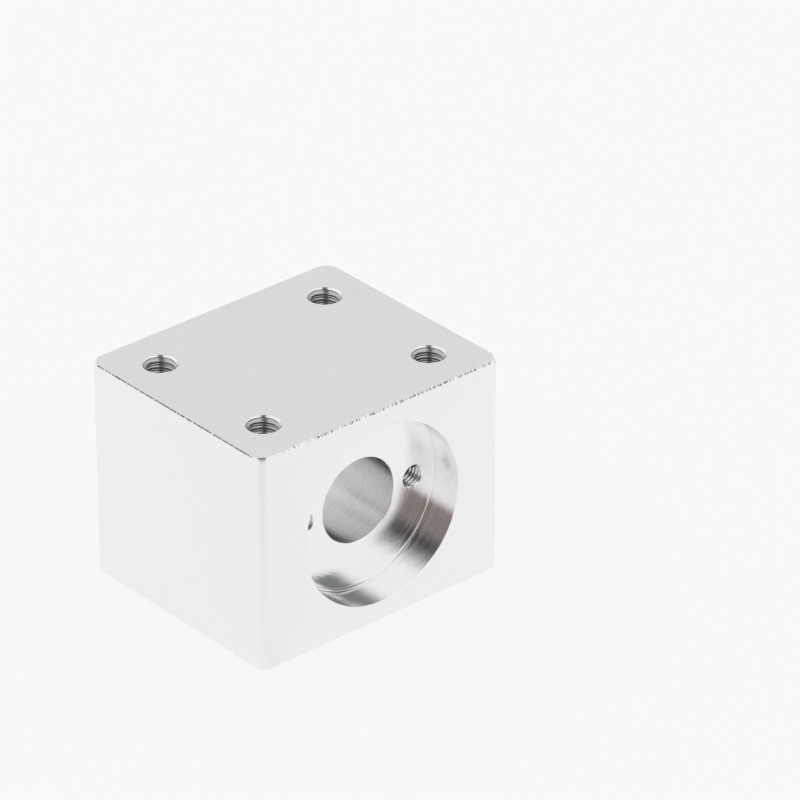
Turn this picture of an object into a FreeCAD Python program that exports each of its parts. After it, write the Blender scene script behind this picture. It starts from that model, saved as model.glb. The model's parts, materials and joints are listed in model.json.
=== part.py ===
"""Lead screw nut housing: one machined aluminium block.

The block stands on its base with +Z up and the origin at the middle of the base. The screw runs along Y
through a plain bore. A flanged nut goes in from the front (-Y) and sits in a round seat, held by two screws.
Four tapped holes in the top carry whatever the screw drives. All sizes are millimetres.
"""
import FreeCAD, Part
import os
from math import radians, sqrt, tan

# Block
width = 35.0
depth = 30.0
height = 27.0
corner_radius = 1.5
edge_break = 0.25

# Flanged nut that the block carries
nut_flange_diameter = 22.0
nut_body_diameter = 10.2
nut_clearance = 0.2
nut_axis_height = 13.5
seat_depth = 4.2
seat_corner_radius = 0.3
turned_break = 0.15

# Tapped holes for the nut's screws, in the seat's floor
nut_screw_spacing = 16.0
nut_screw_size = 3.0
nut_screw_pitch = 0.5
nut_screw_depth = 8.0

# Tapped holes in the top
top_screw_spacing_x = 24.0
top_screw_spacing_y = 18.0
top_screw_size = 4.0
top_screw_pitch = 0.7
top_screw_depth = 8.0

# Tapping: how much of the pitch the thread takes off the diameter, the angle of the drill's point,
# and the countersink at each mouth, by how much it is wider than the screw
thread_share = 1.0825
drill_point_angle = 118.0
countersink_over = 0.35
countersink_angle = 90.0

# Where the sizes above put each surface
front = -depth / 2
back = depth / 2
seat_radius = (nut_flange_diameter + nut_clearance) / 2
seat_floor = front + seat_depth
bore_radius = (nut_body_diameter + nut_clearance) / 2
nut_axis = FreeCAD.Vector(0, 0, nut_axis_height)

X_AXIS = FreeCAD.Vector(1, 0, 0)
Y_AXIS = FreeCAD.Vector(0, 1, 0)
Z_AXIS = FreeCAD.Vector(0, 0, 1)
TOLERANCE = 1e-6


def runs_upright(edge):
    """True for a straight edge along Z."""
    start, end = (v.Point for v in edge.Vertexes)
    return (end - start).cross(Z_AXIS).Length < TOLERANCE


def lies_flat(edge):
    """True for an edge at one height, so one that borders the top or the base."""
    return edge.BoundBox.ZLength < TOLERANCE


def block():
    """The bar that the housing is cut from, with rounded upright edges and a small break round both ends."""
    corner = FreeCAD.Vector(-width / 2, front, 0)
    bar = Part.makeBox(width, depth, height, corner)
    bar = bar.makeFillet(corner_radius, [e for e in bar.Edges if runs_upright(e)])
    return bar.makeChamfer(edge_break, [e for e in bar.Edges if lies_flat(e)])


def on_axis(radius, y):
    """A point of the turned outline: its distance from the nut's axis, and its place along Y."""
    return nut_axis + X_AXIS * radius + Y_AXIS * y


def seat_corner():
    """The small arc that the tool's nose leaves between the seat's wall and its floor."""
    on_wall = on_axis(seat_radius, seat_floor - seat_corner_radius)
    on_floor = on_axis(seat_radius - seat_corner_radius, seat_floor)
    reach = seat_corner_radius * (1 - sqrt(0.5))
    middle = on_axis(seat_radius - reach, seat_floor - reach)
    return Part.Arc(on_wall, middle, on_floor).toShape(), on_wall, on_floor


def nut_room():
    """What is turned away for the nut: its seat and its bore, with the edges broken, as one revolved outline."""
    arc, on_wall, on_floor = seat_corner()
    to_wall = [
        on_axis(0, front),
        on_axis(seat_radius + turned_break, front),
        on_axis(seat_radius, front + turned_break),
        on_wall,
    ]
    to_back = [
        on_floor,
        on_axis(bore_radius + turned_break, seat_floor),
        on_axis(bore_radius, seat_floor + turned_break),
        on_axis(bore_radius, back - turned_break),
        on_axis(bore_radius + turned_break, back),
        on_axis(0, back),
        on_axis(0, front),
    ]
    edges = Part.makePolygon(to_wall).Edges + [arc] + Part.makePolygon(to_back).Edges
    return Part.Face(Part.Wire(edges)).revolve(nut_axis, Y_AXIS, 360)


def cone_length(wide, narrow, angle):
    """How long a cone is between two radii, when its sides stand at this angle to each other."""
    return (wide - narrow) / tan(radians(angle / 2))


def tapped_hole(mouth, into, size, pitch, full_depth):
    """A blind hole at the thread's inner diameter: countersunk, and with the drill's point at its end."""
    radius = (size - thread_share * pitch) / 2
    mouth_radius = (size + countersink_over) / 2
    sink = cone_length(mouth_radius, radius, countersink_angle)
    point = cone_length(radius, 0, drill_point_angle)
    return Part.makeCylinder(radius, full_depth, mouth, into).fuse([
        Part.makeCone(mouth_radius, radius, sink, mouth, into),
        Part.makeCone(radius, 0, point, mouth + into * full_depth, into),
    ])


def nut_screw_holes():
    """Two holes in the seat's floor, one each side of the bore at the height of its axis."""
    holes = []
    for side in (-1, 1):
        mouth = on_axis(side * nut_screw_spacing / 2, seat_floor)
        holes.append(tapped_hole(mouth, Y_AXIS, nut_screw_size, nut_screw_pitch, nut_screw_depth))
    return holes


def top_screw_holes():
    """Four holes in the top, at the corners of a rectangle about the middle of the block."""
    holes = []
    for side_x in (-1, 1):
        for side_y in (-1, 1):
            x = side_x * top_screw_spacing_x / 2
            y = side_y * top_screw_spacing_y / 2
            mouth = FreeCAD.Vector(x, y, height)
            holes.append(tapped_hole(mouth, -Z_AXIS, top_screw_size, top_screw_pitch, top_screw_depth))
    return holes


def nut_housing():
    """The finished block."""
    return block().cut([nut_room()] + nut_screw_holes() + top_screw_holes()).removeSplitter()


os.makedirs("parts", exist_ok=True)
housing = nut_housing().Solids[0]
housing.exportStep("parts/nut_housing.step")
print("nut_housing", "valid", housing.isValid(), "volume mm3", round(housing.Volume, 1))
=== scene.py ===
# %% [markdown]
# # A lead screw nut housing, dressed in Blender
#
# The real part is one block of aluminium. A round seat and a bore are turned into its front for a
# flanged nut, and six holes are drilled, countersunk and tapped. The CAD solid has all of that but
# the threads. This lesson models the block once more with the things that the eye looks for, such
# as real threads and a ragged broken edge, and then gives each surface the finish that its tool
# leaves.

import json
from math import ceil, cos, pi, radians, sin, tan

import bmesh
import bpy
from mathutils import Euler, Matrix, Vector


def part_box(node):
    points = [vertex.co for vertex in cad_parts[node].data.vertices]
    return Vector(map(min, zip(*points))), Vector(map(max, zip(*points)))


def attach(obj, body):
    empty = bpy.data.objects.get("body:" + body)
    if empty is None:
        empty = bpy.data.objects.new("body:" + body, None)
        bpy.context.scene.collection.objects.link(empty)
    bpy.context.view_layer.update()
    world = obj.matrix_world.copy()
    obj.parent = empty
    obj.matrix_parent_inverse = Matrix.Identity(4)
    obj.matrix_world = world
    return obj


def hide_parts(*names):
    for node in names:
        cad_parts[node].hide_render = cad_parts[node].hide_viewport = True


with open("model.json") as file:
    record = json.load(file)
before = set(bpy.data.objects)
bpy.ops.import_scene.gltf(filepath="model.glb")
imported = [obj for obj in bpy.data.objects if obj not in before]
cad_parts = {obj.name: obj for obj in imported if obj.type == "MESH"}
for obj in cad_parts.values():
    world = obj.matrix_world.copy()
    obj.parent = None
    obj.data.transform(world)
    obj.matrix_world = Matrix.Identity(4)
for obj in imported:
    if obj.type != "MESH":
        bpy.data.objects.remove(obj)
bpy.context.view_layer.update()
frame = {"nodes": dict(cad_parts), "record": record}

# %% [markdown]
# ## Sizes
#
# Blender works in metres here, in the frame of the CAD model, so nothing has to be fitted
# afterwards. The box of the solid and the record's mounts give the sizes that matter. Only small
# edges and breaks, which the record doesn't state, are written out below, as the photograph shows
# them.

# %% Read the sizes from the frame
MM = 0.001
low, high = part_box("nut_housing")
front, back, base, top = low.y, high.y, low.z, high.z
mounts = {mount["name"]: mount for mount in frame["record"]["mounts"]}
nut_axis = Vector((0, 0, mounts["nut_bore"]["pos_m"][2]))
bore_radius = mounts["nut_bore"]["dims"]["r_mm"] * MM
seat_radius = mounts["nut_flange_seat"]["dims"]["r_mm"] * MM
cad = frame["nodes"]["nut_housing"]
aside = Vector((0.02, 0.02, 0.02)) * MM


def probe(start, way):
    """Where a line, a hair beside the one wanted, first meets the solid, as a dial gauge would find it."""
    _, place, _, _ = cad.ray_cast(start + aside, way)
    return place


between_bore_and_wall = nut_axis + Vector((0, front - MM, (bore_radius + seat_radius) / 2))
seat_floor = probe(between_bore_and_wall, Vector((0, 1, 0))).y
print("seat", round(seat_radius / MM, 3), "and bore", round(bore_radius / MM, 3), "mm in radius")
print("the seat is", round((seat_floor - front) / MM, 3), "mm deep")

# %% [markdown]
# ## Helpers for working by hand
#
# An operator acts on whatever is selected, and the loaded solid is still selected. So the first
# helper leaves one object selected and active. In edit mode the second one selects faces, edges or
# vertices by a test on their place or normal, which is what a click with the mouse would do. Two
# small ones tell where an edge is and which way it runs.

# %% Helpers for selecting
TINY = 0.001 * MM


def only(piece):
    """Makes one object the only selected one, and the active one."""
    bpy.ops.object.select_all(action="DESELECT")
    piece.select_set(True)
    bpy.context.view_layer.objects.active = piece


def pick(piece, kind, wanted):
    """In edit mode, selects just the vertices, edges or faces that pass a test, and returns how many."""
    bpy.ops.mesh.select_mode(type=kind)
    bpy.ops.mesh.select_all(action="DESELECT")
    mesh = bmesh.from_edit_mesh(piece.data)
    parts = {"VERT": mesh.verts, "EDGE": mesh.edges, "FACE": mesh.faces}[kind]
    chosen = [part for part in parts if wanted(part)]
    for part in chosen:
        part.select_set(True)
    mesh.select_flush_mode()
    bmesh.update_edit_mesh(piece.data)
    return len(chosen)


def middle(edge):
    """The middle of an edge."""
    return (edge.verts[0].co + edge.verts[1].co) / 2


def span(edge):
    """The way from an edge's first vertex to its second."""
    return edge.verts[1].co - edge.verts[0].co


print("helpers ready")

# %% [markdown]
# ## Finishes, by name
#
# Each tool leaves its own finish, so each finish is one material. They are only named here. A
# cutter will carry the material of the surface that it leaves, and the Boolean modifier hands it on
# to the cut faces.

# %% Name the finishes
satin = bpy.data.materials.new("satin_faces")
ragged = bpy.data.materials.new("ragged_edge")
turned = bpy.data.materials.new("bright_turned")
reamed = bpy.data.materials.new("reamed_bore")
# The two thread finishes carry painted shade in their colour, for the dark inside the holes.
tapped = bpy.data.materials.new("top_thread_painted_shade")
seat_thread_shaded = bpy.data.materials.new("seat_thread_painted_shade")
sunk = bpy.data.materials.new("countersink")
finishes = (satin, ragged, turned, reamed, tapped, seat_thread_shaded, sunk)


def dress(piece, finish, wanted):
    """In edit mode, gives a finish to the faces that pass a test."""
    if finish not in list(piece.data.materials):
        piece.data.materials.append(finish)
    piece.active_material_index = list(piece.data.materials).index(finish)
    count = pick(piece, "FACE", wanted)
    bpy.ops.object.material_slot_assign()
    return count


print("finishes:", [finish.name for finish in finishes])

# %% [markdown]
# ## The bar
#
# The block starts as a cube at the solid's own place and size. Its four upright edges are rounded
# with a bevel of many segments, so that the light runs round them without steps. A rounded outline
# could be drawn and extruded instead, but the bevel keeps the radius in one value.

# %% Cut the bar and round its upright edges
corner_radius = 1.5 * MM
corner_segments = 12

bpy.ops.object.select_all(action="DESELECT")
bpy.ops.mesh.primitive_cube_add(size=1, location=(low + high) / 2, scale=high - low)
block = bpy.context.object
block.name = "nut_block"
block.data.materials.append(satin)
bpy.ops.object.transform_apply(location=True, rotation=True, scale=True)
bpy.ops.object.mode_set(mode="EDIT")
uprights = pick(block, "EDGE", lambda e: span(e).xy.length < TINY)
bpy.ops.mesh.bevel(offset=corner_radius, segments=corner_segments, affect="EDGES")
print("rounded", uprights, "upright edges")

# %% [markdown]
# ## The broken edge
#
# The edges round the top and the base were broken with a file, so the break is narrow and flat. A
# bevel of one segment makes it. Its long edges are then divided into short lengths, so that there
# are enough vertices to disturb. One pass of the operator makes a limited number of cuts, so a
# first pass cuts a long run into parts and a second one divides these. That also cuts the big flat
# faces into strips, which are dissolved again.

# %% Break the edges round the top and the base
edge_break = 0.13 * MM
burr_length = 0.09 * MM
most_cuts = 100
square_limit = 1e-6


def lies_flat(edge):
    """True for an edge at one height."""
    return abs(span(edge).z) < TINY


def is_long(edge):
    """True for a straight run between two rounded corners, or part of one."""
    from_side = min(high.x - abs(middle(edge).x), high.y - abs(middle(edge).y))
    return lies_flat(edge) and span(edge).length > corner_radius and from_side < edge_break + TINY


def faces_square(face):
    """True for a face that looks straight along an axis."""
    return max(abs(part) for part in face.normal) > 1 - square_limit


pick(block, "EDGE", lies_flat)
bpy.ops.mesh.bevel(offset=edge_break, segments=1, affect="EDGES")
dress(block, ragged, lambda f: TINY < abs(f.normal.z) < 1 - TINY)
for axis in (0, 1):
    run = (high - low)[axis] - 2 * corner_radius
    cuts = round(run / burr_length)
    parts = ceil(cuts / most_cuts)
    for number_cuts in (parts - 1, round(cuts / parts) - 1):
        pick(block, "EDGE", lambda e: is_long(e) and abs(span(e)[axis]) > span(e).length / 2)
        bpy.ops.mesh.subdivide(number_cuts=number_cuts)
pick(block, "FACE", faces_square)
bpy.ops.mesh.dissolve_faces()
print("the block has", len(bmesh.from_edit_mesh(block.data).faces), "faces with its edges broken")

# %% [markdown]
# A file isn't held at the same angle everywhere. Along the sides the break is steep, and along the
# front and the back it lies flatter, so its row on the top face is scaled a little. The corners
# stick out and are dubbed more, those of the top most. For that, everything but one row is hidden,
# and the row is dragged at each corner with proportional editing, so that its neighbours follow
# softly. The row on the top face goes in a little and the row on the sides goes down further, which
# leaves a small sloping face.

# %% Tilt the break and dub the corners
steep_reach = 0.075 * MM
flat_reach = 0.16 * MM
dub_in = 0.14 * MM
dub_down = 0.6 * MM
base_dub_share = 0.35
dub_reach = 1.4 * MM
corners = [Vector((x, y, z)) for x in (low.x, high.x) for y in (front, back) for z in (base, top)]


def on_flat(vertex):
    """True for a vertex on the top face or on the base."""
    return min(vertex.co.z - base, top - vertex.co.z) < TINY


def on_side(vertex):
    """True for a vertex where the break meets a side face."""
    return not on_flat(vertex)


def drag_corners(in_row, way):
    """Drags one kind of row at each corner of the block, and lets the row beside it follow."""
    pick(block, "VERT", in_row)
    bpy.ops.mesh.hide(unselected=True)
    for corner in corners:
        shown = [v for v in bmesh.from_edit_mesh(block.data).verts if not v.hide]
        tip = min(shown, key=lambda v: (v.co - corner).length).co.copy()
        pick(block, "VERT", lambda v: (v.co - tip).length < TINY)
        bpy.ops.transform.translate(
            value=way(corner),
            use_proportional_edit=True,
            proportional_edit_falloff="SMOOTH",
            proportional_size=dub_reach,
        )
    bpy.ops.mesh.reveal(select=False)


def dub_share(corner):
    """The base's corners are dubbed less than the top's."""
    return 1 if corner.z > (base + top) / 2 else base_dub_share


def inward(corner):
    """Towards the upright middle line of the block."""
    return Vector((-corner.x, -corner.y, 0)).normalized() * dub_in * dub_share(corner)


def lengthwise(corner):
    """Away from the nearer end of the block."""
    return Vector((0, 0, (base + top) / 2 - corner.z)).normalized() * dub_down * dub_share(corner)


pick(block, "VERT", on_flat)
tilt = ((high.x - steep_reach) / (high.x - edge_break), (back - flat_reach) / (back - edge_break), 1)
bpy.ops.transform.resize(value=tilt, center_override=(0, 0, 0))
drag_corners(on_flat, inward)
drag_corners(on_side, lengthwise)
bpy.ops.object.mode_set(mode="OBJECT")
print("tilted the break and dubbed", len(corners), "corners")

# %% [markdown]
# Along the top's front edge the file has left burrs, which show as bright and dark specks, and
# towards the right end it was held steeper. The other edges of the top are nearly even, and those
# of the base are clean. So two functions say how steep and how ragged the break is at a vertex, as
# a share of the most that there is.

# %% Say how ragged the break is, and where
even_share = 0.35
back_share = 0.1
least_share = 0.45
ragged_gain = 1.0
most_share = 0.75
steep_start = 0.4
edge_zone = 0.5 * MM


def at_top_front(vertex):
    """True for a vertex of the break between the top and the front."""
    return vertex.co.z > (base + top) / 2 and vertex.co.y < front + edge_zone


def stroke(vertex):
    """How far along the block a vertex is, from 0 at the left end to 1 at the right."""
    return (vertex.co.x - low.x) / (high.x - low.x)


def steepness(vertex):
    """How much the file was raised along the top's front edge."""
    return steep_start + (1 - steep_start) * stroke(vertex) if at_top_front(vertex) else 0


def raggedness(vertex):
    """Nothing at the base, a little along the top, and more and more along its front edge."""
    if vertex.co.z < (base + top) / 2:
        return 0
    if at_top_front(vertex):
        return min(most_share, least_share + ragged_gain * stroke(vertex))
    return back_share if vertex.co.y > back - edge_zone else even_share


print("most ragged share:", max(raggedness(vertex) for vertex in block.data.vertices))

# %% [markdown]
# A Displace modifier moves only the vertices of one vertex group, by their weight in it. The row on
# the top face slides across its edge and the row on the side faces slides up and down, so the big
# faces stay flat and no neighbours cross. A cloud texture drives the burrs, and gives the same ones
# each time. Without a texture the modifier moves the whole row, which makes the break steeper.

# %% Make the break ragged
slide_size = 0.14 * MM
burr_size = 0.24 * MM
steepening = 0.055 * MM
clouds = bpy.data.textures.new("burrs", "CLOUDS")
clouds.noise_scale = 0.1 * MM
clouds.noise_depth = 1
clouds.contrast = 3.0
clouds.use_clamp = True


def along_y(vertex):
    """True for a vertex of the flat rows between the corners of the left or the right side."""
    return on_flat(vertex) and abs(vertex.co.y) < back - corner_radius


def along_x(vertex):
    """True for a vertex of the flat rows between the corners of the front or the back."""
    return on_flat(vertex) and abs(vertex.co.x) < high.x - corner_radius


only(block)
for in_row, way, size, share, texture in (
    (along_y, "X", slide_size, raggedness, clouds),
    (along_x, "Y", slide_size, raggedness, clouds),
    (on_side, "Z", burr_size, raggedness, clouds),
    (along_x, "Y", -steepening, steepness, None),
    (on_side, "Z", -steepening, steepness, None),
):
    group = block.vertex_groups.new(name=in_row.__name__)
    for vertex in filter(in_row, block.data.vertices):
        group.add([vertex.index], share(vertex), "REPLACE")
    filing = block.modifiers.new("filing", "DISPLACE")
    filing.texture = texture
    filing.texture_coords = "LOCAL"
    filing.mid_level = 0.5 if texture else 0
    filing.direction = way
    filing.vertex_group = group.name
    filing.strength = size
    bpy.ops.object.modifier_apply(modifier=filing.name)
block.vertex_groups.clear()
print("made the break ragged")

# %% [markdown]
# ## The nut's seat and bore
#
# On a lathe, the seat and the bore are turned in one setting. The tool for it here is a stepped
# plug: a disc that is extruded along the axis and scaled at each step. In the floor's corner the
# tool has left a shallow relief groove. The plug reaches a little past both faces of the block, so
# that the cut is clean.

# %% Model the stepped plug
turned_break = 0.05 * MM
nose_radius = 0.06 * MM
relief_depth = 0.08 * MM
relief_width = 0.38 * MM
reach = 0.5 * MM
round_steps = 160
nose_segments = 4

relief_floor = seat_floor + relief_depth
steps = [
    (front - reach, seat_radius + turned_break + reach),
    (front + turned_break, seat_radius),
    (relief_floor, seat_radius),
    (relief_floor, seat_radius - relief_width + relief_depth),
    (seat_floor, seat_radius - relief_width),
    (seat_floor, bore_radius + turned_break),
    (seat_floor + turned_break, bore_radius),
    (back - turned_break, bore_radius),
    (back + reach, bore_radius + turned_break + reach),
]
start, radius = steps[0]
bpy.ops.object.select_all(action="DESELECT")
bpy.ops.mesh.primitive_circle_add(
    vertices=round_steps,
    radius=radius,
    fill_type="NGON",
    location=nut_axis + Vector((0, start, 0)),
    rotation=(pi / 2, 0, 0),
)
plug = bpy.context.object
plug.name = "plug"
bpy.ops.object.transform_apply(location=True, rotation=True, scale=True)
bpy.ops.object.mode_set(mode="EDIT")
bpy.ops.mesh.select_all(action="SELECT")
for step, step_radius in steps[1:]:
    bpy.ops.mesh.extrude_region_move(TRANSFORM_OT_translate={"value": (0, step - start, 0)})
    shrink = step_radius / radius
    bpy.ops.transform.resize(
        value=(shrink, 1, shrink), center_override=nut_axis + Vector((0, step, 0))
    )
    start, radius = step, step_radius
print("plug has", len(steps), "steps")

# %% [markdown]
# The turning tool's nose is round, and so is the corner that it leaves. A bevel on that one ring of
# edges rounds it. The seat is left bright by the turning tool and the bore was reamed afterwards,
# so the plug carries two finishes.

# %% Round the floor's corner and name the plug's finishes
def from_axis(place):
    """The distance from the nut's axis."""
    return (place - nut_axis).xz.length


bpy.ops.mesh.select_all(action="SELECT")
bpy.ops.mesh.normals_make_consistent(inside=False)
corner_edges = pick(
    plug,
    "EDGE",
    lambda e: abs(middle(e).y - relief_floor) < TINY
    and abs(span(e).y) < TINY
    and from_axis(e.verts[0].co) > seat_radius - TINY
    and from_axis(e.verts[1].co) > seat_radius - TINY,
)
bpy.ops.mesh.bevel(offset=nose_radius, segments=nose_segments, affect="EDGES")
plug.data.materials.append(turned)
in_bore = dress(plug, reamed, lambda f: f.calc_center_median().y > relief_floor + TINY)
bpy.ops.object.mode_set(mode="OBJECT")
print("rounded", corner_edges, "edges of the floor's corner;", in_bore, "faces are reamed")

# %% [markdown]
# ## The tapped holes
#
# Six holes were drilled, four in the top and two in the seat's floor. The record gives their
# places. A probe into the solid finds where the drill's point went, so the depth needn't be written
# down twice.

# %% Measure how deep the drill went
top_pattern = mounts["top_screws"]
nut_pattern = mounts["nut_screws"]
half_x = top_pattern["dims"]["spacing_x_mm"] * MM / 2
half_y = top_pattern["dims"]["spacing_y_mm"] * MM / 2
half_nut = nut_pattern["dims"]["spacing_x_mm"] * MM / 2
top_mouths = [Vector((x, y, top)) for x in (-half_x, half_x) for y in (-half_y, half_y)]
nut_mouths = [Vector((x, seat_floor, nut_axis.z)) for x in (-half_nut, half_nut)]
top_depth = top - probe(top_mouths[0], Vector((0, 0, -1))).z
nut_depth = probe(nut_mouths[0], Vector((0, 1, 0))).y - seat_floor
print("drilled", round(top_depth / MM, 2), "and", round(nut_depth / MM, 2), "mm deep")

# %% [markdown]
# The threads were pressed in by a forming tap, so their outline is a soft wave and not a sharp V.
# One wave, one pitch long, is drawn by extruding a single vertex, and the Screw modifier winds it
# up a helix. Each end is closed by a fan, at the bottom into the point that the drill left. Cut
# with such a tap, the hole has a true thread inside, and it starts at the surface as a real one
# does.

# %% A helper that winds a tap
thread_steps = 48
wave_points = 12
thread_depth = 0.48
drill_point_angle = radians(118)


def end_fan(tap, wanted, tip):
    """Closes one open end of the wound outline with a fan to a point on the axis."""
    pick(tap, "EDGE", lambda e: e.is_boundary and wanted(middle(e).z))
    bpy.ops.mesh.extrude_edges_move()
    bpy.ops.mesh.select_mode(type="VERT")
    bpy.ops.mesh.merge(type="CENTER")
    mesh = bmesh.from_edit_mesh(tap.data)
    merged = next(v for v in mesh.verts if v.select)
    bpy.ops.transform.translate(value=Vector((0, 0, tip)) - merged.co)


def wind_tap(name, radius, pitch, tip_depth, finish):
    """A tap with its axis on Z and the hole's mouth at Z = 0."""
    full_depth = tip_depth - radius / tan(drill_point_angle / 2)
    turns = ceil(full_depth / pitch) + 2
    bpy.ops.object.select_all(action="DESELECT")
    bpy.ops.mesh.primitive_plane_add(size=TINY, location=(radius, 0, -full_depth))
    tap = bpy.context.object
    tap.name = name
    bpy.ops.object.transform_apply(location=True, rotation=True, scale=True)
    bpy.ops.object.mode_set(mode="EDIT")
    bpy.ops.mesh.select_mode(type="VERT")
    bpy.ops.mesh.select_all(action="SELECT")
    bpy.ops.mesh.merge(type="CENTER")
    wave = [
        thread_depth * pitch * (1 - cos(2 * pi * n / wave_points)) / 2
        for n in range(wave_points + 1)
    ]
    for here, there in zip(wave, wave[1:]):
        rise = (there - here, 0, pitch / wave_points)
        bpy.ops.mesh.extrude_vertices_move(TRANSFORM_OT_translate={"value": rise})
    bpy.ops.object.mode_set(mode="OBJECT")
    screw = tap.modifiers.new("winding", "SCREW")
    screw.screw_offset = pitch
    screw.iterations = turns
    screw.steps = thread_steps
    screw.render_steps = thread_steps
    bpy.ops.object.modifier_apply(modifier=screw.name)
    bpy.ops.object.mode_set(mode="EDIT")
    bpy.ops.mesh.select_all(action="SELECT")
    bpy.ops.mesh.remove_doubles(threshold=TINY / 2)
    half_way = -full_depth / 2
    end_fan(tap, lambda z: z < half_way, -tip_depth)
    end_fan(tap, lambda z: z > half_way, turns * pitch - full_depth + pitch)
    bpy.ops.mesh.select_all(action="SELECT")
    bpy.ops.mesh.normals_make_consistent(inside=False)
    bpy.ops.object.mode_set(mode="OBJECT")
    tap.data.materials.append(finish)
    return tap


print("one turn of a thread has", thread_steps, "steps")

# %% [markdown]
# The four holes in the top take one size of screw and the two in the seat's floor a smaller one, so
# two taps are enough. The record gives the radius inside each thread, and the pitch is the common
# one for that screw.

# %% Wind both taps
top_pitch = 0.7 * MM
nut_pitch = 0.5 * MM
top_radius = top_pattern["dims"]["hole_r_mm"] * MM
nut_radius = nut_pattern["dims"]["hole_r_mm"] * MM
top_tap = wind_tap("top_tap", top_radius, top_pitch, top_depth, tapped)
nut_tap = wind_tap("nut_tap", nut_radius, nut_pitch, nut_depth, seat_thread_shaded)
print("taps have", len(top_tap.data.polygons), "and", len(nut_tap.data.polygons), "faces")

# %% [markdown]
# A countersink takes the sharp edge off each mouth. Its tool is a cone that stands a little out of
# the face. Each tool is modelled once, turned to face its hole, and copied to every place.

# %% Copy the taps and countersinks to their holes
top_sink_radius = 2.07 * MM
nut_sink_radius = 1.45 * MM
sink_steps = 64
top_thread_turn = radians(-130)
nut_thread_turn = radians(10)


def sink_cone(name, mouth_radius):
    """A right-angled cone with the hole's mouth at Z = 0."""
    length = mouth_radius + reach
    bpy.ops.object.select_all(action="DESELECT")
    bpy.ops.mesh.primitive_cone_add(
        vertices=sink_steps, radius1=0, radius2=length, depth=length, location=(0, 0, reach - length / 2)
    )
    cone = bpy.context.object
    cone.name = name
    bpy.ops.object.transform_apply(location=True, rotation=True, scale=True)
    cone.data.materials.append(sunk)
    return cone


def place_copies(tool, mouths, turn, tilt):
    """Turns a tool about its own axis, tilts it to face out of its holes, and copies it to each mouth."""
    only(tool)
    tool.rotation_euler = (0, 0, turn)
    bpy.ops.object.transform_apply(location=False, rotation=True, scale=False)
    tool.rotation_euler = (tilt, 0, 0)
    bpy.ops.object.transform_apply(location=False, rotation=True, scale=False)
    copies = []
    for mouth in mouths:
        only(tool)
        bpy.ops.object.duplicate(linked=False)
        copies.append(bpy.context.object)
        bpy.ops.transform.translate(value=mouth)
    bpy.data.objects.remove(tool)
    return copies


top_sink = sink_cone("top_sink", top_sink_radius)
nut_sink = sink_cone("nut_sink", nut_sink_radius)
taps = place_copies(top_tap, top_mouths, top_thread_turn, 0)
taps += place_copies(nut_tap, nut_mouths, nut_thread_turn, pi / 2)
sinks = place_copies(top_sink, top_mouths, 0, 0)
sinks += place_copies(nut_sink, nut_mouths, 0, pi / 2)
print(len(taps), "taps and", len(sinks), "countersinks in place")

# %% [markdown]
# ## Cutting
#
# The Boolean modifier takes each tool's shape out of the block. The exact solver copes with the
# threads, and in its transfer mode the cut faces take over the tool's material.

# %% Cut the seat, the bore and the holes
def cut(block, tool):
    """Takes a tool's shape out of the block and removes the tool."""
    only(block)
    boolean = block.modifiers.new("cut", "BOOLEAN")
    boolean.operation = "DIFFERENCE"
    boolean.solver = "EXACT"
    boolean.material_mode = "TRANSFER"
    boolean.object = tool
    bpy.ops.object.modifier_apply(modifier=boolean.name)
    bpy.data.objects.remove(tool)


for tool in [plug] + taps + sinks:
    cut(block, tool)
print("the cut block has", len(block.data.polygons), "faces and", len(block.material_slots), "finishes")

# %% [markdown]
# ## Smooth where it is round, flat where it is flat
#
# Faces that meet at a small angle are shaded as one smooth surface. Sharper edges stay crisp, and
# so does every edge where one finish meets another, except low on the dubbed corners, which run
# softly into the rounded upright edges. The Weighted Normal modifier then lets the largest face
# decide the normal at each vertex, so the wide flat faces stay perfectly flat beside the rounded
# edges.

# %% Shade the block
crisp_angle = radians(44)
corner_zone = 1.55 * MM


def finishes_meet(edge):
    """True for an edge between two finishes."""
    return len({face.material_index for face in edge.link_faces}) > 1


def at_corner(edge):
    """True for an edge on the side of one of the dubbed corners."""
    on_rim = min(middle(edge).z - base, top - middle(edge).z) < TINY
    return not on_rim and any((middle(edge) - corner).length < corner_zone for corner in corners)


only(block)
bpy.ops.object.shade_smooth_by_angle(angle=crisp_angle)
bpy.ops.object.mode_set(mode="EDIT")
crisp = pick(block, "EDGE", finishes_meet)
bpy.ops.mesh.mark_sharp()
soft = pick(block, "EDGE", at_corner)
bpy.ops.mesh.mark_sharp(clear=True)
bpy.ops.object.mode_set(mode="OBJECT")
weights = block.modifiers.new("weights", "WEIGHTED_NORMAL")
weights.keep_sharp = True
bpy.ops.object.modifier_apply(modifier=weights.name)
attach(block, "root")
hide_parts("nut_housing")
triangles = sum(len(face.vertices) - 2 for face in block.data.polygons)
print("the finished block has about", triangles, "triangles;", crisp, "edges are crisp and", soft, "soft")

# %% [markdown]
# ## Building materials from nodes
#
# A few small helpers keep the node cells short. The first adds a node and fills its inputs, each
# with a value or with the output of another node. The others stand for sums that come back often: a
# soft step, a product, the part of a vector that lies along a way, and a mix of two colours. A Mix
# node has sockets for every kind of value, so the numbers of those for colours get names.

# %% Helpers for nodes
MIX_FACTOR, MIX_UNDER, MIX_OVER, MIX_RESULT = 0, 6, 7, 2


def add(tree, kind, inputs=None, **settings):
    """Adds a node, sets its options, and fills its inputs with values or with other nodes' outputs."""
    made = tree.nodes.new(kind)
    for name, value in settings.items():
        setattr(made, name, value)
    for name, value in (inputs or {}).items():
        if isinstance(value, bpy.types.NodeSocket):
            tree.links.new(value, made.inputs[name])
        else:
            made.inputs[name].default_value = value
    return made


def fade(tree, value, start, end, from_value=0.0, to_value=1.0):
    """A soft step of a value, from one number to another."""
    made = add(tree, "ShaderNodeMapRange", {
        "Value": value, "From Min": start, "From Max": end, "To Min": from_value, "To Max": to_value,
    }, interpolation_type="SMOOTHSTEP")
    return made.outputs["Result"]


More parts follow.
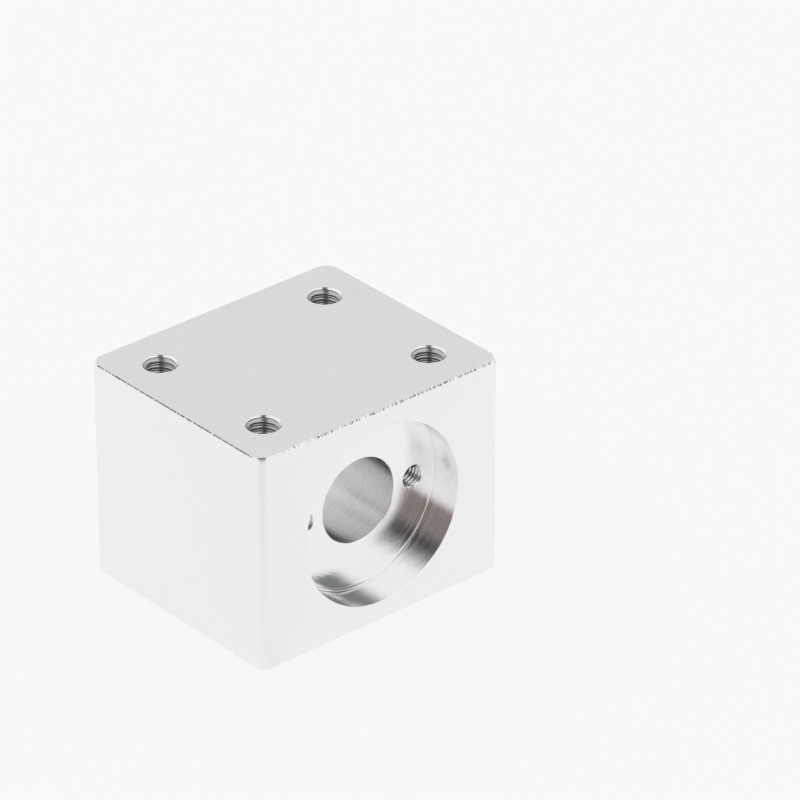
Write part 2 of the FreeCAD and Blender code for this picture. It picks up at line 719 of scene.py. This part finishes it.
def times(tree, one, other):
    """The product of two values."""
    return add(tree, "ShaderNodeMath", {0: one, 1: other}, operation="MULTIPLY").outputs[0]


def component(tree, vector, way):
    """How far a vector reaches along a way."""
    made = add(tree, "ShaderNodeVectorMath", {0: vector, 1: way}, operation="DOT_PRODUCT")
    return made.outputs["Value"]


def blend(tree, mask, under, over):
    """One colour over another, by a mask. Each is a plain colour or another node's output."""
    layers = {MIX_FACTOR: mask}
    for socket, colour in ((MIX_UNDER, under), (MIX_OVER, over)):
        layers[socket] = colour if isinstance(colour, bpy.types.NodeSocket) else colour + (1,)
    return add(tree, "ShaderNodeMix", layers, data_type="RGBA").outputs[MIX_RESULT]


print("node helpers ready")

# %% [markdown]
# Every pattern on the metal is counted in millimetres from some point of the block, so that its
# scale can be read like a drawing's. An effect that several finishes share is a node group, with a
# place and a scale going in, and a shade and a height coming out.

# %% Helpers for places and shared effects
def in_millimetres(tree, centre=(0, 0, 0)):
    """Object coordinates in millimetres, counted from a centre."""
    place = add(tree, "ShaderNodeTexCoord").outputs["Object"]
    offset = tuple(-c / MM for c in centre)
    scale = (1 / MM,) * 3
    mapping = add(tree, "ShaderNodeMapping", {"Vector": place, "Location": offset, "Scale": scale})
    return mapping.outputs["Vector"]


def new_effect(name):
    """Starts a node group for a shared effect, and returns its tree, entry and exit."""
    tree = bpy.data.node_groups.new(name, "ShaderNodeTree")
    for socket, kind in (("Vector", "NodeSocketVector"), ("Scale", "NodeSocketFloat")):
        tree.interface.new_socket(socket, in_out="INPUT", socket_type=kind)
    for socket in ("Shade", "Height"):
        tree.interface.new_socket(socket, in_out="OUTPUT", socket_type="NodeSocketFloat")
    return tree, tree.nodes.new("NodeGroupInput"), tree.nodes.new("NodeGroupOutput")


print("place and effect helpers ready")

# %% [markdown]
# ## The shared effects
#
# Fine grain is the faint unevenness of a blasted and anodised face. A painted picture would have to
# be fitted to the block, but noise fills any shape. Two layers of it, one fine and one wide, make
# the shade, and the fine one alone makes the height.

# %% Group: fine grain
wide_share = 0.03

grain, entry, leave = new_effect("fine grain")
fine = add(grain, "ShaderNodeTexNoise", {
    "Vector": entry.outputs["Vector"], "Scale": entry.outputs["Scale"], "Detail": 3.0, "Roughness": 0.6,
}).outputs[0]
wide_scale = times(grain, entry.outputs["Scale"], wide_share)
wide = add(grain, "ShaderNodeTexNoise", {
    "Vector": entry.outputs["Vector"], "Scale": wide_scale, "Detail": 2.0, "Roughness": 0.5,
}).outputs[0]
both = add(grain, "ShaderNodeMath", {0: fine, 1: wide}, operation="ADD").outputs[0]
grain.links.new(times(grain, both, 0.5), leave.inputs["Shade"])
grain.links.new(fine, leave.inputs["Height"])
print("group", grain.name, "has", len(grain.nodes), "nodes")

# %% [markdown]
# Tool rings are the grooves that a turning tool leaves. They follow the outline of the turned
# shape, so they depend on the distance from the axis and on the place along it, and not on the
# angle. Noise of one dimension along that path makes grooves of uneven strength, where a wave
# texture would make them all alike.

# %% Group: tool rings
rings, entry, leave = new_effect("tool rings")
parts = add(rings, "ShaderNodeSeparateXYZ", {0: entry.outputs["Vector"]}).outputs
across = add(rings, "ShaderNodeCombineXYZ", {"X": parts["X"], "Z": parts["Z"]}).outputs[0]
distance = add(rings, "ShaderNodeVectorMath", {0: across}, operation="LENGTH").outputs["Value"]
along = add(rings, "ShaderNodeMath", {0: distance, 1: parts["Y"]}, operation="SUBTRACT").outputs[0]
groove = add(rings, "ShaderNodeTexNoise", {
    "W": along, "Scale": entry.outputs["Scale"], "Detail": 2.0, "Roughness": 0.7,
}, noise_dimensions="1D").outputs[0]
for socket in ("Shade", "Height"):
    rings.links.new(groove, leave.inputs[socket])
print("group", rings.name, "has", len(rings.nodes), "nodes")

# %% [markdown]
# ## The finishes
#
# All of them are bare or clear-anodised aluminium, so the metal is the same and what differs is how
# rough each surface is and what marks it has. One function builds a finish from a shared effect:
# its shade varies colour and roughness a little, and its height feeds a Bump node. Noise seldom
# leaves the middle of its range, so only that part of the shade is spread over the two colours.

# %% A helper that builds a finish
shade_low = 0.3
shade_high = 0.7


def grey(level):
    """A neutral colour."""
    return (level, level, level)


def metal(material, effect, vector, scale, colours, roughness, bump, depth, metallic=1.0):
    """An aluminium finish: two close colours, a range of roughness, and bumps that are this deep."""
    material.use_nodes = True
    tree = material.node_tree
    tree.nodes.clear()
    marks = add(tree, "ShaderNodeGroup", {"Vector": vector(tree), "Scale": scale}, node_tree=effect)
    colour = add(tree, "ShaderNodeValToRGB", {"Fac": marks.outputs["Shade"]})
    colour.color_ramp.elements[0].position = shade_low
    colour.color_ramp.elements[1].position = shade_high
    colour.color_ramp.elements[0].color = colours[0] + (1,)
    colour.color_ramp.elements[1].color = colours[1] + (1,)
    rough = add(tree, "ShaderNodeMapRange", {
        "Value": marks.outputs["Shade"], "From Min": shade_low, "From Max": shade_high,
        "To Min": roughness[0], "To Max": roughness[1],
    })
    bumps = add(tree, "ShaderNodeBump", {
        "Height": marks.outputs["Height"], "Strength": bump, "Distance": depth,
    })
    shader = add(tree, "ShaderNodeBsdfPrincipled", {
        "Base Color": colour.outputs["Color"], "Roughness": rough.outputs["Result"],
        "Metallic": metallic, "Normal": bumps.outputs["Normal"],
    })
    add(tree, "ShaderNodeOutputMaterial", {"Surface": shader.outputs["BSDF"]})
    return shader


print("finish helper ready")

# %% [markdown]
# The outer faces are blasted and clear-anodised, which leaves them pale and satin with hardly any
# marks. The file has laid the metal bare along the edges, so there it is shinier, and its grain is
# coarser and deeper.

# %% Satin faces and ragged edge
metal(
    satin, grain, in_millimetres,
    scale=12,
    colours=((0.949, 0.952, 0.955), (0.965, 0.968, 0.971)),
    roughness=(0.35, 0.39),
    bump=0.05,
    depth=0.004 * MM,
)
metal(
    ragged, grain, in_millimetres,
    scale=5,
    colours=(grey(0.86), grey(0.94)),
    roughness=(0.1, 0.22),
    bump=0.3,
    depth=0.01 * MM,
)
print("built", satin.name, "and", ragged.name)

# %% [markdown]
# The seat was turned with a fine feed and shines. The reamer has left the bore duller, with wider
# rings. Both finishes use the tool rings, centred on the nut's axis, so the marks run round as the
# tools did.

# %% Turned seat and reamed bore
def round_nut(tree):
    """Millimetres from the nut's axis."""
    return in_millimetres(tree, nut_axis)


seat_shader = metal(
    turned, rings, round_nut,
    scale=7,
    colours=(grey(0.905), grey(0.93)),
    roughness=(0.07, 0.11),
    bump=1.0,
    depth=0.009 * MM,
)
metal(
    reamed, rings, round_nut,
    scale=3,
    colours=(grey(0.88), grey(0.955)),
    roughness=(0.18, 0.26),
    bump=0.9,
    depth=0.009 * MM,
    metallic=0.95,
)
print("built", turned.name, "and", reamed.name)

# %% [markdown]
# Inside the holes little light comes back out, so the threads' colour is painted far darker than the
# metal's own, as painted shade. The threads in the top carry the darkest painted shade, those in the
# seat's floor less, and they shine more, and the countersinks are nearly as bright as the faces. They
# differ only in colour and roughness, so one loop builds all three.

# %% Threads and countersinks
for finish, levels, roughness in (
    # painted shade: the top threads' colour is far darker than the metal, for the shade deep in the holes
    (tapped, (0.48, 0.55), (0.23, 0.31)),
    # painted shade: the seat's threads are painted a little less dark
    (seat_thread_shaded, (0.56, 0.63), (0.06, 0.12)),
    (sunk, (0.85, 0.89), (0.18, 0.26)),
):
    metal(
        finish, grain, in_millimetres,
        scale=8,
        colours=(grey(levels[0]), grey(levels[1])),
        roughness=roughness,
        bump=0.1,
        depth=0.005 * MM,
    )
print("all finishes built:", [finish.name for finish in finishes])

# %% [markdown]
# The right of the seat's wall is painted greyer, a painted shade that stands in for a dim reflection
# there, with one smaller, darker spot in it. It could be a picture on a UV map, but a mask by the distance
# from its middle needs neither, and the fine grain breaks it up. The mask mixes a greyer colour over the
# bright one, which is the painted shade, and makes the metal duller there. Each patch is listed with its
# middle, its size in millimetres and its strength.

# %% Paint shade on the seat's wall
# painted shade: each patch darkens the wall's own colour
shade_and_spot_patches = [
    (nut_axis + Vector((11.0, -14.0, 0.8)) * MM, 5.0, 0.6),
    (nut_axis + Vector((11.0, -13.3, 1.6)) * MM, 1.5, 1.0),
]
shade_and_spot_grey = (0.7, 0.7, 0.71)
patch_roughening = 0.1
mottle_scale = 1.5
mottle_from = 0.35
mottle_to = 0.6
mottle_least = 0.45

seat_tree = turned.node_tree
seat_colour = seat_shader.inputs["Base Color"]
seat_roughness = seat_shader.inputs["Roughness"]
for centre, size, strength in shade_and_spot_patches:
    around = in_millimetres(seat_tree, centre)
    far = add(seat_tree, "ShaderNodeVectorMath", {0: around}, operation="LENGTH").outputs["Value"]
    spot = fade(seat_tree, far, size, 0.0, to_value=strength)
    mottle = add(seat_tree, "ShaderNodeGroup", {"Vector": around, "Scale": mottle_scale}, node_tree=grain)
    blotch = add(seat_tree, "ShaderNodeMapRange", {
        "Value": mottle.outputs["Height"],
        "From Min": mottle_from, "From Max": mottle_to, "To Min": mottle_least,
    }).outputs["Result"]
    mask = times(seat_tree, spot, blotch)
    # painted shade in the wide patch, and a darker spot in the small one: a greyer colour over the wall's
    # own
    greyer = blend(seat_tree, mask, seat_colour.links[0].from_socket, shade_and_spot_grey)
    duller = add(seat_tree, "ShaderNodeMath", {
        0: mask, 1: patch_roughening, 2: seat_roughness.links[0].from_socket,
    }, operation="MULTIPLY_ADD").outputs[0]
    seat_tree.links.new(greyer, seat_colour)
    seat_tree.links.new(duller, seat_roughness)
print("greyed", turned.name, "in", len(shade_and_spot_patches), "places")

# %% [markdown]
# ## The camera
#
# It stands where the photograph was taken from: a long lens, well above the block and to its left.
# Its place and lens come from fitting a pinhole camera to the block's corners, edges and holes in
# the photograph, so the two pictures can be laid over each other.

# %% Place the camera
camera_azimuth = radians(-40.7315)
camera_elevation = radians(29.633)
camera_roll = radians(-0.1955)
camera_distance = 671.08 * MM
aim_right = 11.727 * MM
aim_up = 7.119 * MM
sensor_width = 36.0
lens = 267.92

to_camera = Vector((
    sin(camera_azimuth) * cos(camera_elevation),
    -cos(camera_azimuth) * cos(camera_elevation),
    sin(camera_elevation),
))
right = Vector((cos(camera_azimuth), sin(camera_azimuth), 0))
up = right.cross(-to_camera)
camera_data = bpy.data.cameras.new("camera")
camera_data.sensor_width = sensor_width
camera_data.lens = lens
camera = bpy.data.objects.new("camera", camera_data)
bpy.context.scene.collection.objects.link(camera)
camera.location = (low + high) / 2 + to_camera * camera_distance + right * aim_right + up * aim_up
level = Euler((pi / 2 - camera_elevation, 0, camera_azimuth)).to_matrix()
camera.rotation_euler = (level @ Matrix.Rotation(camera_roll, 3, "Z")).to_euler()
bpy.context.scene.camera = camera
print("camera at", [round(x, 4) for x in camera.location])

# %% [markdown]
# ## The studio
#
# A white room lights the block from all round, and a pale floor carries its soft shadow. Bare metal
# shows what stands around it, so a plain white room would leave the polished seat without form. As
# in a photo studio, there is a dark gap between the lights where the photograph was taken from, and
# the room is darker off to both sides and a little behind the block. To say where these are, each
# way out of the block is split into its height, its part to the right and its part towards the gap.

# %% Split the ways out of the block
world = bpy.data.worlds.new("studio")
bpy.context.scene.world = world
world.use_nodes = True
room = world.node_tree
room.nodes.clear()

way = add(room, "ShaderNodeTexCoord").outputs["Generated"]
height = add(room, "ShaderNodeSeparateXYZ", {0: way}).outputs["Z"]
to_gap = Vector((to_camera.x, to_camera.y, 0)).normalized()
sideways = component(room, way, right)
towards = component(room, way, to_gap)
off_middle = add(room, "ShaderNodeMath", {0: sideways}, operation="ABSOLUTE").outputs[0]
print("the gap lies towards", [round(x, 3) for x in to_gap])

# %% [markdown]
# The gap is wider and warmer low down, and narrow and nearly black higher up. Soft steps bound it
# and the darker sides, and each is mixed over what is there already. Only the metal's reflections
# see all this, and everything else sees plain white.

# %% Light the room
white = (1.0, 1.0, 1.0)
low_gap = (0.23, 0.186, 0.172)
high_gap = (0.06, 0.057, 0.06)
behind_colour = (0.665, 0.665, 0.665)
right_colour = (0.212, 0.222, 0.229)
left_colour = (0.16, 0.16, 0.165)
gap_from, gap_to = 0.13, 0.265
low_gap_scale = 0.55
narrow_from, narrow_to = 0.3, 0.6
black_from, black_to = 0.35, 0.53
ahead_from, ahead_to = -0.05, 0.1
behind_from, behind_to = -0.45, -0.8
right_from, right_to = 0.79, 0.93
left_from, left_to = -0.88, -0.95

widened = times(room, off_middle, fade(room, height, narrow_from, narrow_to, low_gap_scale, 1.0))
in_gap = fade(room, widened, gap_from, gap_to, 1.0, 0.0)
gap_mask = times(room, in_gap, fade(room, towards, ahead_from, ahead_to))
gap_colour = blend(room, fade(room, height, black_from, black_to), low_gap, high_gap)
seen = blend(room, fade(room, towards, behind_from, behind_to), white, behind_colour)
seen = blend(room, fade(room, sideways, right_from, right_to), seen, right_colour)
seen = blend(room, fade(room, sideways, left_from, left_to), seen, left_colour)
seen = blend(room, gap_mask, seen, gap_colour)
rays = add(room, "ShaderNodeLightPath")
shown = blend(room, rays.outputs["Is Glossy Ray"], white, seen)
glow = add(room, "ShaderNodeBackground", {"Color": shown, "Strength": 1.0})
add(room, "ShaderNodeOutputWorld", {"Surface": glow.outputs[0]})
print("the room has", len(room.nodes), "nodes")

# %% [markdown]
# The floor is a wide sheet of pale paper, a plane just under the base.

# %% Lay the floor
floor_size = 8.0
floor_gap = 0.01 * MM

bpy.ops.object.select_all(action="DESELECT")
bpy.ops.mesh.primitive_plane_add(size=floor_size, location=(0, 0, base - floor_gap))
floor = bpy.context.object
floor.name = "floor"
bpy.ops.object.transform_apply(location=True, rotation=True, scale=True)
paper = bpy.data.materials.new("pale_paper")
floor.data.materials.append(paper)
print("floor laid, with", paper.name)

# %% [markdown]
# Towards the gap the sheet is painted darker, a painted shade like the room's there, which again only the
# metal's reflections see.
# The dark part is a wedge that opens away from the block, so the mask is a product of two: how far
# ahead a point is, and how far beside the middle line for that distance.

# %% Darken the paper towards the gap
floor_colour = (0.953, 0.938, 0.945)
dim_from = 40 * MM
dim_to = 300 * MM
most_dim = 0.9
wedge_slope = 0.6

paper.use_nodes = True
tree = paper.node_tree
tree.nodes.clear()
path = add(tree, "ShaderNodeLightPath").outputs
spread = add(tree, "ShaderNodeTexCoord").outputs["Object"]
ahead = component(tree, spread, to_gap)
beside = add(tree, "ShaderNodeMath", {0: component(tree, spread, right)}, operation="ABSOLUTE").outputs[0]
dim = add(tree, "ShaderNodeMapRange", {
    "Value": ahead, "From Min": dim_from, "From Max": dim_to, "To Max": most_dim,
}).outputs["Result"]
aslant = add(tree, "ShaderNodeMath", {0: beside, 1: ahead}, operation="DIVIDE").outputs[0]
wedge = fade(tree, aslant, wedge_slope, 0.0)
dim = times(tree, times(tree, dim, wedge), path["Is Glossy Ray"])
# painted shade: inside the wedge the paper's glow colour turns to the dark gap colour, for glossy rays
# only
paper_glow = blend(tree, dim, floor_colour, low_gap)
print("the paper darkens from", round(dim_from / MM), "to", round(dim_to / MM), "mm ahead of the block")

# %% [markdown]
# The paper takes a shadow as paper does, but what the camera and the metal see of it is mostly its
# own even glow, as when a sheet is lit from behind, so the shadow stays faint. A Mix Shader does
# that: Light Path tells it which rays look at the floor, and the glow gets its share for those rays
# alone.

# %% Let the paper glow
glow_share = 0.92

sheet = add(tree, "ShaderNodeBsdfDiffuse", {"Color": floor_colour + (1,)})
lit = add(tree, "ShaderNodeEmission", {"Color": paper_glow, "Strength": 1.0})
looks = path["Is Camera Ray"]
for ray in ("Is Glossy Ray", "Is Transmission Ray"):
    looks = add(tree, "ShaderNodeMath", {0: looks, 1: path[ray]}, operation="MAXIMUM").outputs[0]
share = times(tree, looks, glow_share)
both = add(tree, "ShaderNodeMixShader", {0: share, 1: sheet.outputs[0], 2: lit.outputs[0]})
add(tree, "ShaderNodeOutputMaterial", {"Surface": both.outputs[0]})
bpy.context.scene.view_settings.view_transform = "Standard"
print("the paper has", len(tree.nodes), "nodes")
